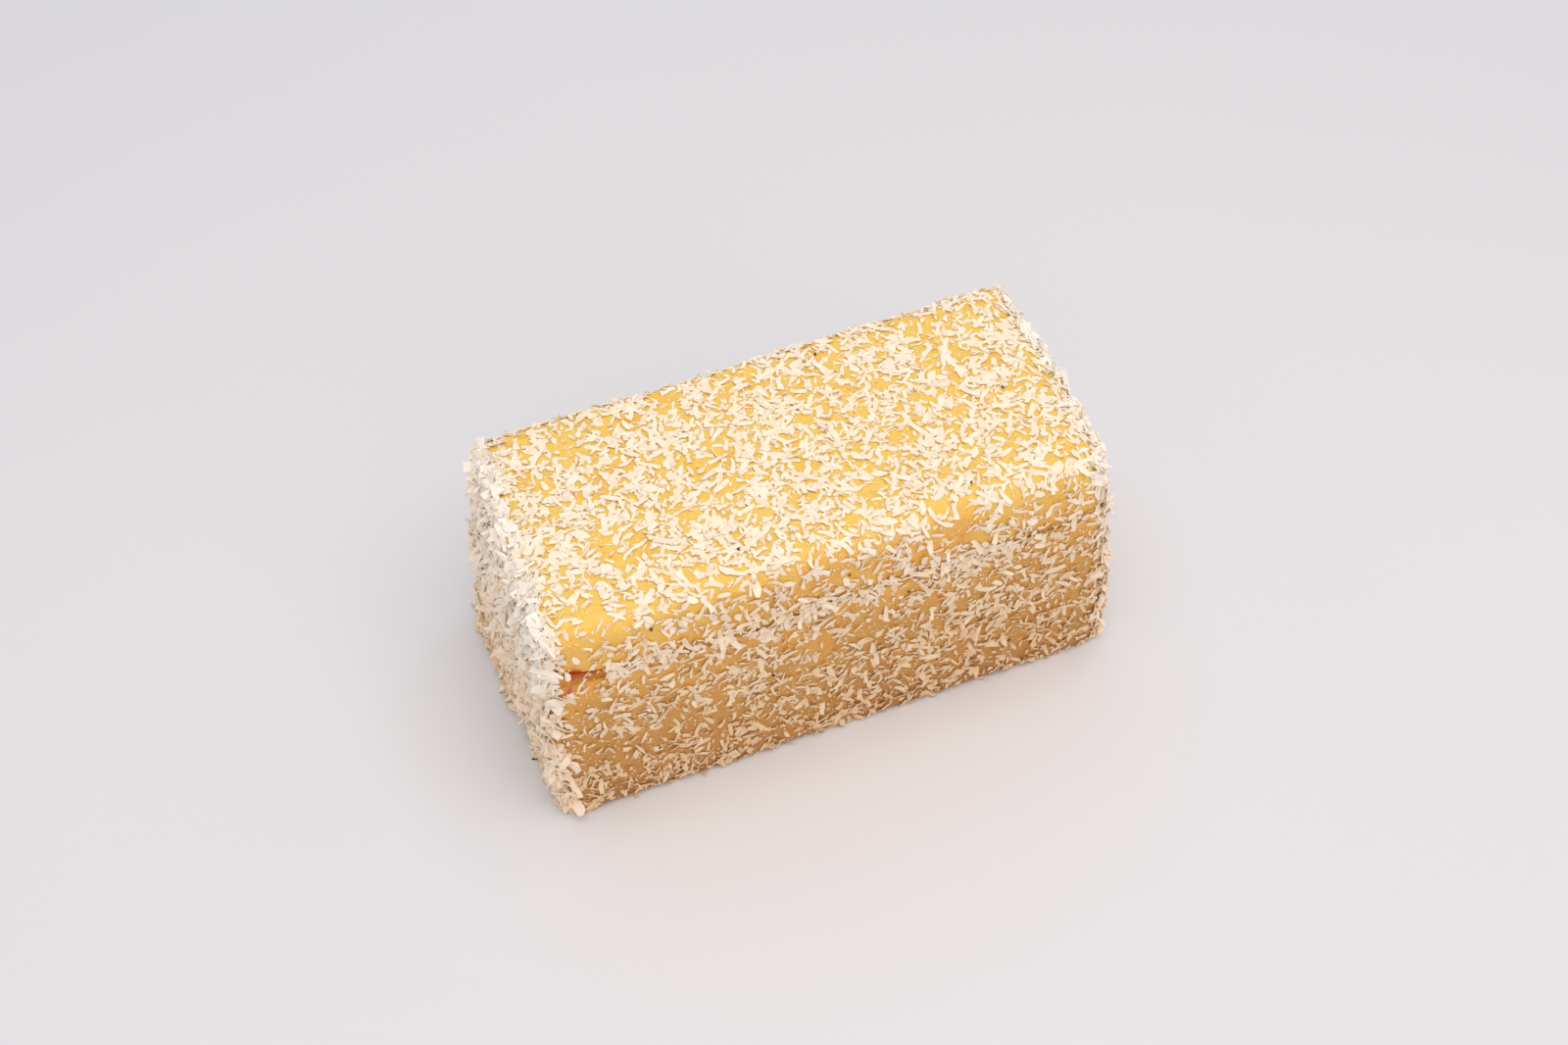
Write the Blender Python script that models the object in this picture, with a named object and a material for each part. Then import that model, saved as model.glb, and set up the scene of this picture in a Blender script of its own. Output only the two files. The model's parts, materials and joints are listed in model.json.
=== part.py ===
"""Coconut-dusted syrup sponge slice, in metres, with +Z up.

Two layers of soaked sponge lie on each other with a thin bed of apricot jam between them, and
shreds of desiccated coconut stick to the outside. The origin is the middle of the underside, +X
runs along the length, and -Y is the long side where the jam shows most, at the low X corner.
"""

import math
import random

import bmesh
import bpy
from mathutils import Matrix, Vector, noise

MM = 0.001
SAME_LEVEL = MM / 100
SAME_PLANE = MM / 1000

# The slice as cut, before it settles under its own weight
LENGTH = 101.8 * MM
WIDTH = 48.6 * MM
HEIGHT = 46.8 * MM
CORNER_RADIUS = 3.6 * MM
TOP_RIM_RADIUS = 3.8 * MM
BASE_RIM_RADIUS = 1.4 * MM
SEAM_RIM_RADIUS = 0.6 * MM

# The jam bed: its mid height along the slice, how thick it is, and how far it swells out
SEAM_HEIGHT = 34.2 * MM
SEAM_RISE_AT_ENDS = 1.8 * MM
SEAM_RISE_AT_CORNER = 2.8 * MM
JAM_THICKNESS = 1.3 * MM
JAM_POOL_DEPTH = 2.2 * MM
JAM_POOL_RADIUS = 7.0 * MM
JAM_POOL_SWELL = 0.7 * MM
GAP = 0.4 * MM

# How the slice settles: the ends and sides lean in towards the top, the -X end more so at the
# back than at the front, and it draws in at its foot too. The top rises to the +X end, and sags
# at the front corner there
END_LEAN = 0.8 * MM
LOW_END_SLUMP = 1.4 * MM
LOW_END_TWIST = 2.2 * MM
LOW_END_FOOT = 1.8 * MM
CORNER_SAG = Vector((-2.6 * MM, 1.0 * MM, -1.2 * MM))
SIDE_LEAN = 0.7 * MM
TOP_RISE = 1.3 * MM
SOFT_WAVE = 0.45 * MM
SOFT_WAVE_LENGTH = 24.0 * MM
CLUMP_RELIEF = 0.8 * MM
CLUMP_SIZE = 8.0 * MM

# The faces are cut, so that they can follow the waves, and closer towards the outside
CUTS_ALONG = 6
CUTS_ACROSS = 3
LOWER_LEVELS = (10.0 * MM, 21.0 * MM)
SEAM_REACH = 1.15

# Coconut: the largest shreds only, spread by a least spacing that is closer on the cut ends
SHRED_LENGTH = (2.4 * MM, 4.8 * MM)
SHRED_WIDTH = (0.8 * MM, 1.7 * MM)
SHRED_THICKNESS = (0.42 * MM, 0.6 * MM)
SHRED_TAPER = (0.35, 0.9)
SHRED_SKEW = 0.35
SHRED_LIFT = 0.1 * MM
FLAT_TILT = (3.0, 12.0)
STEEP_TILT = (18.0, 38.0)
FLAT_SLIDE = 0.12
STEEP_SLIDE = 0.28
STEEP_SHARE_ON_SIDES = 0.25
STEEP_SHARE_ON_ENDS = 0.55
END_DENSITY = 1.6
SHREDS_ON_UPPER = 280
SHREDS_ON_LOWER = 230
TURNS_TRIED = 8
PACKING = 0.8
DRAWS_PER_SHRED = 20
REACH = Vector((1.7 * MM, 1.2 * MM, 1.4 * MM))
SEAM_CLEARANCE = 0.3 * MM
FLOOR_CLEARANCE = 0.4 * MM
LOWEST_NORMAL_Z = -0.3
SEED = 7

SPONGE_YELLOW = (0.80, 0.47, 0.115)
SPONGE_SOAKED = (0.68, 0.37, 0.09)
JAM_AMBER = (0.66, 0.20, 0.02)


def clear_scene():
    """Removes whatever the startup file holds."""
    for obj in list(bpy.data.objects):
        bpy.data.objects.remove(obj)


def make_material(name, colour, roughness):
    """A plain Principled material."""
    material = bpy.data.materials.new(name)
    material.use_nodes = True
    shader = material.node_tree.nodes["Principled BSDF"]
    shader.inputs["Base Color"].default_value = (*colour, 1.0)
    shader.inputs["Roughness"].default_value = roughness
    shader.inputs["Metallic"].default_value = 0.0
    return material


def make_collection(name):
    """A collection in the scene."""
    collection = bpy.data.collections.new(name)
    bpy.context.scene.collection.children.link(collection)
    return collection


def add_object(name, bm, material, collection):
    """Turns a bmesh into a named object with one material."""
    mesh = bpy.data.meshes.new(name)
    bm.to_mesh(mesh)
    bm.free()
    mesh.materials.append(material)
    obj = bpy.data.objects.new(name, mesh)
    collection.objects.link(obj)
    return obj


def bump(distance, radius):
    """A smooth bell that is 1 in its middle."""
    return math.exp(-((distance / radius) ** 2))


def pool(x, y):
    """Where the jam has pooled, at the front corner of the low X end: 1 in its middle."""
    corner = Vector((-LENGTH, -WIDTH)) / 2
    return bump((Vector((x, y)) - corner).length, JAM_POOL_RADIUS)


def seam_height(x, y):
    """Mid height of the jam bed. It dips under the middle of the slice and rises to the ends."""
    ends = SEAM_RISE_AT_ENDS * (abs(x) / (LENGTH / 2)) ** 4
    ripple = noise.noise(Vector((x, y, 0.0)) / SOFT_WAVE_LENGTH) * SOFT_WAVE
    return SEAM_HEIGHT + ends + SEAM_RISE_AT_CORNER * pool(x, y) + ripple


def jam_top(x, y):
    """Upper face of the jam bed."""
    return seam_height(x, y) + JAM_THICKNESS / 2


def jam_bottom(x, y):
    """Lower face of the jam bed."""
    return seam_height(x, y) - JAM_THICKNESS / 2 - JAM_POOL_DEPTH * pool(x, y)


def settle(point):
    """Moves a point of the slice as cut to where it lies once the soft sponge has settled."""
    level = point.z / HEIGHT
    along = point.x / (LENGTH / 2)
    across = point.y / (WIDTH / 2)
    wave = noise.noise_vector(point / SOFT_WAVE_LENGTH) * SOFT_WAVE
    clumps = noise.noise(point / CLUMP_SIZE) * CLUMP_RELIEF
    low_end = max(0.0, -along) ** 4
    slump = (LOW_END_SLUMP + LOW_END_TWIST * across) * low_end
    foot = LOW_END_FOOT * low_end * (1 - level) ** 2
    x = point.x + level * (slump - END_LEAN * along) + foot + wave.x + clumps * along**5
    y = point.y - SIDE_LEAN * level * across + wave.y * across
    z = point.z + level * (wave.z + TOP_RISE * along / 2)
    sag = (max(0.0, along) * max(0.0, -across)) ** 3 * level**4
    return Vector((x, y, z)) + CORNER_SAG * sag


def rim_edges(bm, z):
    """The edges that lie at one level."""
    return [e for e in bm.edges if all(abs(v.co.z - z) < SAME_LEVEL for v in e.verts)]


def round_rim(bm, z, radius, segments):
    """Rounds the outline at one level."""
    bmesh.ops.bevel(
        bm,
        geom=rim_edges(bm, z),
        offset=radius,
        segments=segments,
        profile=0.5,
        affect="EDGES",
    )


def cut_at(bm, axis, places):
    """Cuts the faces with planes across one axis."""
    for place in places:
        bmesh.ops.bisect_plane(
            bm,
            geom=bm.verts[:] + bm.edges[:] + bm.faces[:],
            plane_co=Vector(axis) * place,
            plane_no=Vector(axis),
            dist=SAME_PLANE,
        )


def outward_cuts(size, steps):
    """Places of the cuts across a size: one in the middle, the others closer to the ends."""
    return [size / 2 * math.sin(math.pi / 2 * i / steps) for i in range(1 - steps, steps)]


def rounded_block(low, high, setback=0.0, top_rim=None, base_rim=None, levels=()):
    """A box with round upright corners, round rims where asked, and faces cut into cells."""
    bm = bmesh.new()
    bmesh.ops.create_cube(bm, size=1.0)
    size = Vector((LENGTH - 2 * setback, WIDTH - 2 * setback, high - low))
    bmesh.ops.scale(bm, vec=size, verts=bm.verts)
    bmesh.ops.translate(bm, vec=(0.0, 0.0, (low + high) / 2), verts=bm.verts)
    upright = [e for e in bm.edges if abs(e.verts[0].co.z - e.verts[1].co.z) > SAME_LEVEL]
    bmesh.ops.bevel(
        bm,
        geom=upright,
        offset=CORNER_RADIUS - setback,
        segments=3,
        profile=0.5,
        affect="EDGES",
    )
    if top_rim:
        round_rim(bm, high, *top_rim)
    if base_rim:
        round_rim(bm, low, *base_rim)
    cut_at(bm, (1.0, 0.0, 0.0), outward_cuts(LENGTH, CUTS_ALONG))
    cut_at(bm, (0.0, 1.0, 0.0), outward_cuts(WIDTH, CUTS_ACROSS))
    cut_at(bm, (0.0, 0.0, 1.0), levels)
    return bm


def seam_pull(share):
    """How far a level follows the seam: wholly at its rim, and less with the distance from it."""
    return min(1.0, share * SEAM_REACH) ** 3


def lower_sponge_mesh():
    """The thick lower layer: its upper face follows the jam bed, and its underside is flat."""
    bm = rounded_block(
        0.0,
        SEAM_HEIGHT,
        top_rim=(SEAM_RIM_RADIUS, 1),
        base_rim=(BASE_RIM_RADIUS, 2),
        levels=LOWER_LEVELS,
    )
    for v in bm.verts:
        drop = SEAM_HEIGHT - jam_bottom(v.co.x, v.co.y) + GAP
        share = v.co.z / SEAM_HEIGHT
        v.co.z -= drop * seam_pull(share)
        v.co = settle(v.co)
    underside = [f for f in bm.faces if all(abs(v.co.z) < SAME_LEVEL for v in f.verts)]
    bmesh.ops.dissolve_faces(bm, faces=underside)
    return bm


def jam_mesh():
    """The jam bed: a thin slab, thicker and swelling out where it pools at one front corner."""
    bm = rounded_block(0.0, JAM_THICKNESS, setback=SEAM_RIM_RADIUS)
    for v in bm.verts:
        face = jam_bottom if v.co.z < JAM_THICKNESS / 2 else jam_top
        swell = JAM_POOL_SWELL * pool(v.co.x, v.co.y)
        v.co.xy -= Vector((swell, swell))
        v.co.z = face(v.co.x, v.co.y)
        v.co = settle(v.co)
    return bm


def upper_sponge_mesh():
    """The thin upper layer: its underside follows the jam bed, and its top rim is round."""
    bm = rounded_block(
        SEAM_HEIGHT,
        HEIGHT,
        top_rim=(TOP_RIM_RADIUS, 3),
        base_rim=(SEAM_RIM_RADIUS, 1),
    )
    for v in bm.verts:
        lift = jam_top(v.co.x, v.co.y) + GAP - SEAM_HEIGHT
        share = (HEIGHT - v.co.z) / (HEIGHT - SEAM_HEIGHT)
        v.co.z += lift * seam_pull(share)
        v.co = settle(v.co)
    return bm


def faces_end(normal):
    """True for a surface that faces mostly along the slice."""
    return abs(normal.x) > max(abs(normal.y), abs(normal.z))


def coconut_density(normal):
    """How many times closer the shreds lie on a surface that faces this way."""
    return END_DENSITY if faces_end(normal) else 1.0


def open_triangles(mesh, fits):
    """The triangles of a sponge layer that shreds may lie on, which the seam and base are not."""
    mesh.calc_loop_triangles()
    return [
        t
        for t in mesh.loop_triangles
        if t.normal.z > LOWEST_NORMAL_Z
        and any(fits(mesh.vertices[i].co, SEAM_CLEARANCE) for i in t.vertices)
    ]


def spread_points(mesh, fits, wanted, rng):
    """Points spread over a sponge layer with a least spacing, each with its face's normal."""
    triangles = open_triangles(mesh, fits)
    weights = [t.area * coconut_density(t.normal) for t in triangles]
    spacing = PACKING * math.sqrt(sum(weights) / wanted)
    spread = []
    for t in rng.choices(triangles, weights, k=wanted * DRAWS_PER_SHRED):
        a, b, c = (mesh.vertices[i].co for i in t.vertices)
        u, v = sorted((rng.random(), rng.random()))
        point = a * u + b * (v - u) + c * (1 - v)
        room = spacing / math.sqrt(coconut_density(t.normal))
        clear = all((point - other).length > room for other, _ in spread)
        if clear and fits(point, SEAM_CLEARANCE):
            spread.append((point, t.normal.copy()))
        if len(spread) == wanted:
            break
    return spread


def coconut_shred(rng):
    """A thin blade with a slanting, narrower tip, lying along X with its thickness along Z."""
    bm = bmesh.new()
    bmesh.ops.create_cube(bm, size=1.0)
    length = rng.triangular(*SHRED_LENGTH)
    width = rng.uniform(*SHRED_WIDTH)
    bmesh.ops.scale(bm, vec=(length, width, rng.uniform(*SHRED_THICKNESS)), verts=bm.verts)
    tip = rng.uniform(*SHRED_TAPER)
    skew = rng.uniform(-SHRED_SKEW, SHRED_SKEW)
    for v in bm.verts:
        if v.co.x > 0:
            v.co.y *= tip
        v.co.x += skew * v.co.y * (1 if v.co.x > 0 else -1)
    return bm, length


def shred_pose(point, normal, length, rng):
    """Lays a shred on the surface, flat or standing up from it at a slant."""
    steep = rng.random() < (STEEP_SHARE_ON_ENDS if faces_end(normal) else STEEP_SHARE_ON_SIDES)
    tilt = math.radians(rng.uniform(*(STEEP_TILT if steep else FLAT_TILT)))
    lay = normal.to_track_quat("Z", "Y").to_matrix().to_4x4()
    spin = Matrix.Rotation(rng.uniform(0.0, math.tau), 4, "Z")
    # The middle moves out along the shred, so that most of its length shows
    slide = Matrix.Translation((length * (STEEP_SLIDE if steep else FLAT_SLIDE), 0.0, 0.0))
    foot = Matrix.Translation(point + normal * SHRED_LIFT)
    return foot @ lay @ spin @ Matrix.Rotation(-tilt, 4, "Y") @ slide


def within_reach(point):
    """True for a point that stands out no further than the coat of coconut does."""
    return (
        abs(point.x) < LENGTH / 2 + REACH.x
        and abs(point.y) < WIDTH / 2 + REACH.y
        and point.z < HEIGHT + REACH.z
    )


def place_shred(bm, point, normal, length, fits, rng):
    """Turns a shred about its foot until it clears the limits, and says whether it does."""
    for _ in range(TURNS_TRIED):
        pose = shred_pose(point, normal, length, rng)
        corners = [pose @ v.co for v in bm.verts]
        if all(fits(corner, SEAM_CLEARANCE) and within_reach(corner) for corner in corners):
            bmesh.ops.transform(bm, matrix=pose, verts=bm.verts)
            return True
    return False


def add_shreds(host, wanted, fits, collection, seed):
    """Scatters shreds over a sponge layer, leaving out any that can't clear the limits."""
    rng = random.Random(seed)
    for point, normal in spread_points(host.data, fits, wanted, rng):
        bm, length = coconut_shred(rng)
        if place_shred(bm, point, normal, length, fits, rng):
            add_object("shred", bm, host.data.materials[0], collection)
        else:
            bm.free()


def keep_largest_shell(mesh):
    """Drops loose scraps and the walls of sealed hollows, which are shells of their own."""
    bm = bmesh.new()
    bm.from_mesh(mesh)
    unseen = set(bm.verts)
    shells = []
    while unseen:
        shell = {unseen.pop()}
        edge_of_search = list(shell)
        while edge_of_search:
            v = edge_of_search.pop()
            near = {e.other_vert(v) for e in v.link_edges} - shell
            shell |= near
            edge_of_search.extend(near)
        unseen -= shell
        shells.append(shell)
    shells.sort(key=len)
    scraps = [v for shell in shells[:-1] for v in shell]
    bmesh.ops.delete(bm, geom=scraps, context="VERTS")
    bm.to_mesh(mesh)
    bm.free()


def fuse(host, shreds):
    """Joins a collection of shreds to the sponge they lie on by one Boolean union."""
    union = host.modifiers.new("coconut", "BOOLEAN")
    union.operation = "UNION"
    union.operand_type = "COLLECTION"
    union.collection = shreds
    union.solver = "MANIFOLD"
    evaluated = host.evaluated_get(bpy.context.evaluated_depsgraph_get())
    fused = bpy.data.meshes.new_from_object(evaluated)
    host.modifiers.clear()
    host.data = fused
    keep_largest_shell(fused)
    for obj in list(shreds.objects):
        bpy.data.objects.remove(obj)
    bpy.data.collections.remove(shreds)


def inside_upper(point, clearance):
    """True where a point lies clear above the seam, past the rounded lower rim."""
    limit = settle(Vector((point.x, point.y, jam_top(point.x, point.y)))).z
    return point.z > limit + GAP + clearance


def inside_lower(point, clearance):
    """True where a point lies clear below the seam and above the floor."""
    limit = settle(Vector((point.x, point.y, jam_bottom(point.x, point.y)))).z
    return FLOOR_CLEARANCE < point.z < limit - GAP - clearance


def main():
    # Without a seed of its own, noise_vector gives other waves on each run
    noise.seed_set(SEED)
    clear_scene()
    slice_parts = make_collection("coconut_sponge_slice")
    yellow = make_material("sponge_upper", SPONGE_YELLOW, 0.55)
    soaked = make_material("sponge_lower", SPONGE_SOAKED, 0.5)
    jam = make_material("apricot_jam", JAM_AMBER, 0.15)

    lower = add_object("sponge_lower", lower_sponge_mesh(), soaked, slice_parts)
    filling = add_object("jam_filling", jam_mesh(), jam, slice_parts)
    upper = add_object("sponge_upper", upper_sponge_mesh(), yellow, slice_parts)
    filling.data.shade_smooth()

    layers = (
        (lower, SHREDS_ON_LOWER, inside_lower),
        (upper, SHREDS_ON_UPPER, inside_upper),
    )
    for number, (host, wanted, fits) in enumerate(layers):
        shreds = make_collection(f"coconut_on_{host.name}")
        add_shreds(host, wanted, fits, shreds, SEED + number)
        fuse(host, shreds)


main()
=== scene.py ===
"""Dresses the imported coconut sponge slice: moist yellow crumb, apricot jam and a coconut coat.

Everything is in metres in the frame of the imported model: the origin is the middle of the
underside, +X runs along the slice, +Z is up and -Y is the long side that the jam shows on.
"""

from __future__ import annotations

import json
import logging
import math
import random
from collections.abc import Callable, Iterable
from dataclasses import dataclass, field
from enum import Enum
from typing import Any

import bmesh
import bpy
import numpy as np
from mathutils import Matrix, Vector, noise

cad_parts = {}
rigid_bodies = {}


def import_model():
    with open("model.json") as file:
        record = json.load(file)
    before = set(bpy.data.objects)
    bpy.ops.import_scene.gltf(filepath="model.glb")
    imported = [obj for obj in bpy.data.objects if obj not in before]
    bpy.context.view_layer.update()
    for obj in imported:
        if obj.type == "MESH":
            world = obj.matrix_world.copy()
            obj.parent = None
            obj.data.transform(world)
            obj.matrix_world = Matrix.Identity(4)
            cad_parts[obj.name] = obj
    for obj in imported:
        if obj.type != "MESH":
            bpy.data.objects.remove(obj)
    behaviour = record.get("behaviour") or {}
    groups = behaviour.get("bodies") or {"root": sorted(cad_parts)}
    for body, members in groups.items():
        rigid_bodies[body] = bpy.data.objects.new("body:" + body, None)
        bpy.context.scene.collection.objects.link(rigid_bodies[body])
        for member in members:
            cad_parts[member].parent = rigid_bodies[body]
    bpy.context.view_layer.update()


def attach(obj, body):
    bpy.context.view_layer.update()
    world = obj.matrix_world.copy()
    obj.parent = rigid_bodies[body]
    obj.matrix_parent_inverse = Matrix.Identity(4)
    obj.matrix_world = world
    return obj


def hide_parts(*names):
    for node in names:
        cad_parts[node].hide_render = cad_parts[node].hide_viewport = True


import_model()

MM = 0.001
LOG = logging.getLogger("coconut_slice")

# The stops of a colour ramp: where each lies, and its sRGB colour
Stops = tuple[tuple[float, str], ...]
Socket = bpy.types.NodeSocket
Tree = bpy.types.NodeTree

# How broad the spots of a noise texture are at a scale of 1
SPOT = 0.5
# The painted shade that darkens the foot fades out evenly up to this height
FOOT_SHADE_TOP = 46.0 * MM
# Sockets of a Mix node that mixes colours
COLOUR_A, COLOUR_B, MIXED = 6, 7, 2

# Attributes that the meshes carry from their makers to their materials
DUSTING = "coconut_dust"
JAM_STAIN = "jam_stain"
POOLED = "jam_pooled"
# Depth below the jam's top, which drives the painted shade along the top of the jam bed
JAM_SHADE_DEPTH = "jam_depth"
COVER = "shred_cover"
SHADE = "shred_shade"


def linear_colour(code: str) -> tuple[float, float, float, float]:
    """Turns an sRGB hex colour into linear light.

    Args:
        code: Six hex digits after a hash sign.

    Returns:
        Red, green, blue and an opaque alpha, in linear light.
    """
    channels = [int(code[i : i + 2], 16) / 255 for i in (1, 3, 5)]
    linear = [c / 12.92 if c <= 0.04045 else ((c + 0.055) / 1.055) ** 2.4 for c in channels]
    return (*linear, 1.0)


def add_node(
    tree: Tree,
    kind: str,
    inputs: dict[str | int, Any] | None = None,
    **settings: Any,
) -> bpy.types.Node:
    """Adds a node to a tree, with its settings and its links.

    Args:
        tree: The tree that gets the node.
        kind: Blender's name of the node type.
        inputs: What goes into each input, by name or number: a value, a socket to link, or a
            node whose first output is linked.
        **settings: Properties of the node, set before its inputs.

    Returns:
        The new node.
    """
    node = tree.nodes.new(kind)
    for name, value in settings.items():
        setattr(node, name, value)
    for key, value in (inputs or {}).items():
        source = value.outputs[0] if isinstance(value, bpy.types.Node) else value
        if isinstance(source, bpy.types.NodeSocket):
            tree.links.new(source, node.inputs[key])
        else:
            node.inputs[key].default_value = source
    return node


def set_stops(ramp: bpy.types.ColorRamp, stops: Stops) -> None:
    """Gives a colour ramp its colours.

    Args:
        ramp: The ramp of a new node.
        stops: The places on the ramp in rising order, each with its colour.
    """
    for element, (position, code) in zip(ramp.elements, (stops[0], stops[-1])):
        element.position, element.color = position, linear_colour(code)
    for position, code in stops[1:-1]:
        ramp.elements.new(position).color = linear_colour(code)


def object_from_bmesh(name: str, bm: bmesh.types.BMesh) -> bpy.types.Object:
    """Makes an object of a bmesh, at the origin, and frees the bmesh.

    Args:
        name: The object's name.
        bm: The shape.

    Returns:
        The object, linked to the scene.
    """
    mesh = bpy.data.meshes.new(name)
    bm.to_mesh(mesh)
    bm.free()
    obj = bpy.data.objects.new(name, mesh)
    bpy.context.scene.collection.objects.link(obj)
    return obj


def apply_modifiers(obj: bpy.types.Object) -> None:
    """Replaces an object's mesh by its evaluated one, and removes its modifiers.

    Args:
        obj: The object, whose modifiers are removed.
    """
    evaluated = obj.evaluated_get(bpy.context.evaluated_depsgraph_get())
    mesh = bpy.data.meshes.new_from_object(evaluated)
    obj.modifiers.clear()
    obj.data = mesh


def triangle_count(obj: bpy.types.Object) -> int:
    """Counts the triangles of an object's mesh."""
    obj.data.calc_loop_triangles()
    return len(obj.data.loop_triangles)


def store(obj: bpy.types.Object, name: str, values: Iterable[float]) -> None:
    """Stores one number for each point of an object's mesh, as a named attribute."""
    attribute = obj.data.attributes.new(name, "FLOAT", "POINT")
    attribute.data.foreach_set("value", np.fromiter(values, np.float32))


def mm(*sizes: float) -> tuple[float, ...]:
    """Turns sizes in millimetres into metres."""
    return tuple(size * MM for size in sizes)


def ease(low: float, high: float, value: float) -> float:
    """Rises smoothly from 0 at low to 1 at high."""
    t = min(1.0, max(0.0, (value - low) / (high - low)))
    return t * t * (3 - 2 * t)


def bell(distance: float, radius: float) -> float:
    """A smooth bell that is 1 in its middle and fades out past its radius."""
    return math.exp(-((distance / radius) ** 2))


@dataclass(frozen=True)
class SliceForm:
    """The form that every layer of the slice shares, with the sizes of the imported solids.

    The gap is that between a sponge layer and the jam; below zero, the two touch and overlap.
    """

    length: float = 101.8 * MM
    width: float = 48.6 * MM
    height: float = 46.8 * MM
    corner_radius: float = 3.6 * MM
    top_rim_radius: float = 3.8 * MM
    base_rim_radius: float = 1.4 * MM
    seam_rim_radius: float = 0.2 * MM
    seam_height_mid: float = 34.2 * MM
    seam_rise_at_ends: float = 1.8 * MM
    seam_rise_at_corner: float = 2.8 * MM
    seam_reach: float = 1.15
    jam_thickness: float = 1.3 * MM
    jam_pool_depth: float = 2.2 * MM
    jam_pool_radius: float = 7.0 * MM
    end_lean: float = 0.8 * MM
    low_end_slump: float = 1.4 * MM
    low_end_twist: float = 2.2 * MM
    low_end_foot: float = 1.8 * MM
    corner_sag: tuple[float, float, float] = (-2.6 * MM, 1.0 * MM, -1.2 * MM)
    side_lean: float = 0.7 * MM
    top_rise: float = 1.3 * MM
    soft_wave: float = 0.45 * MM
    soft_wave_length: float = 24.0 * MM
    wave_seed: int = 7
    clump_relief: float = 0.8 * MM
    clump_size: float = 8.0 * MM
    gap: float = -0.2 * MM
    heap_size: float = 2.8 * MM
    heap_height: float = 1.3 * MM
    heap_floor: float = 0.3
    end_facing: tuple[float, float] = (0.55, 0.85)
    rim_facets: int = 5

    def pool(self, x: float, y: float) -> float:
        """Where the jam has pooled, at the front corner of the low X end: 1 in its middle."""
        return bell(math.hypot(x + self.length / 2, y + self.width / 2), self.jam_pool_radius)

    def seam_height(self, x: float, y: float) -> float:
        """Mid height of the jam bed at a place in plan.

        Args:
            x: Place along the slice.
            y: Place across it.

        Returns:
            The height.
        """
        ends = self.seam_rise_at_ends * (abs(x) / (self.length / 2)) ** 4
        ripple = noise.noise(Vector((x, y, 0.0)) / self.soft_wave_length) * self.soft_wave
        return self.seam_height_mid + ends + self.seam_rise_at_corner * self.pool(x, y) + ripple

    def jam_top(self, x: float, y: float) -> float:
        """Height of the jam's upper face at a place in plan."""
        return self.seam_height(x, y) + self.jam_thickness / 2

    def jam_bottom(self, x: float, y: float) -> float:
        """Height of the jam's lower face at a place in plan."""
        drop = self.jam_thickness / 2 + self.jam_pool_depth * self.pool(x, y)
        return self.seam_height(x, y) - drop

    def seam_pull(self, share: float) -> float:
        """How far a level follows the seam: wholly at its rim, less with distance from it."""
        return min(1.0, share * self.seam_reach) ** 3

    def settle(self, point: Vector) -> Vector:
        """Moves a point of the slice as cut to where it lies once the soft sponge has settled.

        Args:
            point: A point of the square-cut slice.

        Returns:
            The same point on the slice as it stands.
        """
        level = point.z / self.height
        along = point.x / (self.length / 2)
        across = point.y / (self.width / 2)
        wave = noise.noise_vector(point / self.soft_wave_length) * self.soft_wave
        clumps = noise.noise(point / self.clump_size) * self.clump_relief
        low_end = max(0.0, -along) ** 4
        slump = (self.low_end_slump + self.low_end_twist * across) * low_end
        foot = self.low_end_foot * low_end * (1 - level) ** 2
        x = point.x + level * (slump - self.end_lean * along) + foot + wave.x + clumps * along**5
        y = point.y - self.side_lean * level * across + wave.y * across
        z = point.z + level * (wave.z + self.top_rise * along / 2)
        sag = (max(0.0, along) * max(0.0, -across)) ** 3 * level**4
        return Vector((x, y, z)) + Vector(self.corner_sag) * sag

    def clumps(self, point: Vector, normal: Vector) -> Vector:
        """How far the coconut heaped on the two cut ends stands out at a point.

        Args:
            point: A point of the settled slice.
            normal: The way that the surface faces there.

        Returns:
            The way from the point to the outside of the heap.
        """
        heap = self.heap_floor + noise.noise(point / self.heap_size)
        return normal * self.heap_height * heap * self.end_share(normal)

    def end_share(self, normal: Vector) -> float:
        """1 on the two cut ends, 0 on the rest."""
        return ease(*self.end_facing, abs(normal.x))

    def block(
        self, low: float, high: float, cell: float, rims: tuple[float, float], inset: float = 0.0
    ) -> bmesh.types.BMesh:
        """A box with round upright corners and round rims, its faces cut into small cells.

        Args:
            low: Height of its underside.
            high: Height of its top.
            cell: Spacing of the cuts.
            rims: Radius of the top rim and of the base rim, 0 for a sharp one.
            inset: How far it lies back from the outline of the slice.

        Returns:
            The block, as cut.
        """
        bm = bmesh.new()
        bmesh.ops.create_cube(bm, size=1.0)
        size = Vector((self.length - 2 * inset, self.width - 2 * inset, high - low))
        bmesh.ops.scale(bm, vec=size, verts=bm.verts)
        bmesh.ops.translate(bm, vec=(0.0, 0.0, (low + high) / 2), verts=bm.verts)
        hair = cell / 100
        upright = [e for e in bm.edges if abs(e.verts[0].co.z - e.verts[1].co.z) > hair]
        self._round(bm, upright, self.corner_radius - inset)
        for level, radius in zip((high, low), rims):
            if radius:
                rim = [e for e in bm.edges if all(abs(v.co.z - level) < hair for v in e.verts)]
                self._round(bm, rim, radius)
        for axis, extent in enumerate((self.length, self.width, 2 * self.height)):
            normal = Vector([float(i == axis) for i in range(3)])
            for step in range(-int(extent / cell / 2), int(extent / cell / 2) + 1):
                whole = bm.verts[:] + bm.edges[:] + bm.faces[:]
                place = normal * step * cell
                bmesh.ops.bisect_plane(
                    bm, geom=whole, dist=cell / 1000, plane_co=place, plane_no=normal
                )
        return self._in_order(bm)

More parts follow.
